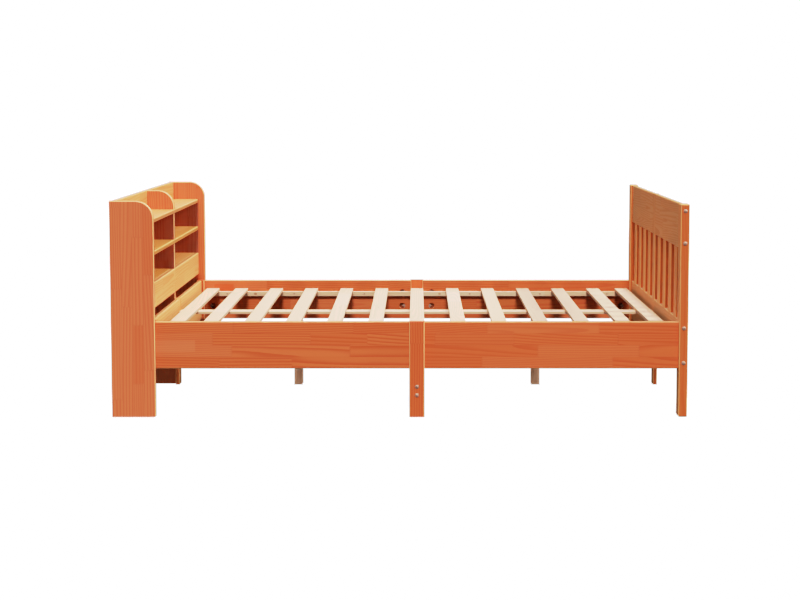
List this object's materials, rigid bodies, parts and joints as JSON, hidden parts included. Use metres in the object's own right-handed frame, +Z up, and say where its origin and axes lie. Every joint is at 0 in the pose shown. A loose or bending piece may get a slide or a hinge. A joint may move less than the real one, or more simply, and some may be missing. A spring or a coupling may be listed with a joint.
{
  "type": "bed frame",
  "caption": "Stained pine bed frame with an open bookcase headboard, a slatted footboard and a screwed slat deck between side rails.",
  "frame": {"origin": "on the floor under the middle of the whole frame", "axes": "+X from the bookcase head to the foot, +Y to the right seen from the foot, +Z up"},
  "size_m": [2.244, 1.4634, 0.846],
  "materials": {
    "stained_pine": "orange-brown stain and wax, satin",
    "plain_pine": "planed, without a finish",
    "steel": "zinc plated, satin"
  },
  "bodies": {
    "root": {"side_panel_left": "stained_pine", "side_panel_right": "stained_pine", "bookcase_divider": "stained_pine", "bookcase_back": "stained_pine", "shelf_top": "stained_pine", "shelf_middle": "stained_pine", "shelf_bottom": "stained_pine", "apron_left": "stained_pine", "apron_right": "stained_pine", "head_rail_left": "stained_pine", "head_rail_right": "stained_pine", "head_mid_leg": "stained_pine", "corner_block_left": "stained_pine", "corner_block_right": "stained_pine", "side_rail_left_head": "stained_pine", "side_rail_left_foot": "stained_pine", "side_rail_right_head": "stained_pine", "side_rail_right_foot": "stained_pine", "side_leg_left": "stained_pine", "side_leg_right": "stained_pine", "ledger_left_head": "plain_pine", "ledger_left_foot": "plain_pine", "ledger_right_head": "plain_pine", "ledger_right_foot": "plain_pine", "cross_stretcher": "plain_pine", "center_beam_head": "plain_pine", "center_beam_foot": "plain_pine", "center_leg_head": "plain_pine", "center_leg_foot": "plain_pine", "beam_cleat_head": "plain_pine", "beam_cleat_foot": "plain_pine", "foot_post_left": "stained_pine", "foot_post_right": "stained_pine", "foot_mid_post": "stained_pine", "foot_panel_left": "stained_pine", "foot_panel_right": "stained_pine", "foot_rail_left": "stained_pine", "foot_rail_right": "stained_pine", "foot_spindles_left": "stained_pine", "foot_spindles_right": "stained_pine", "slat_01": "plain_pine", "slat_02": "plain_pine", "slat_03": "plain_pine", "slat_04": "plain_pine", "slat_05": "plain_pine", "slat_06": "plain_pine", "slat_07": "plain_pine", "slat_08": "plain_pine", "slat_09": "plain_pine", "slat_10": "plain_pine", "slat_11": "plain_pine", "slat_12": "plain_pine", "slat_13": "plain_pine", "connector_bolts": "steel", "barrel_nuts": "steel", "tie_rods": "steel", "rod_nuts": "steel", "crescent_washers": "steel", "dowels": "plain_pine", "wood_screws": "steel"}
  },
  "joints": []
}
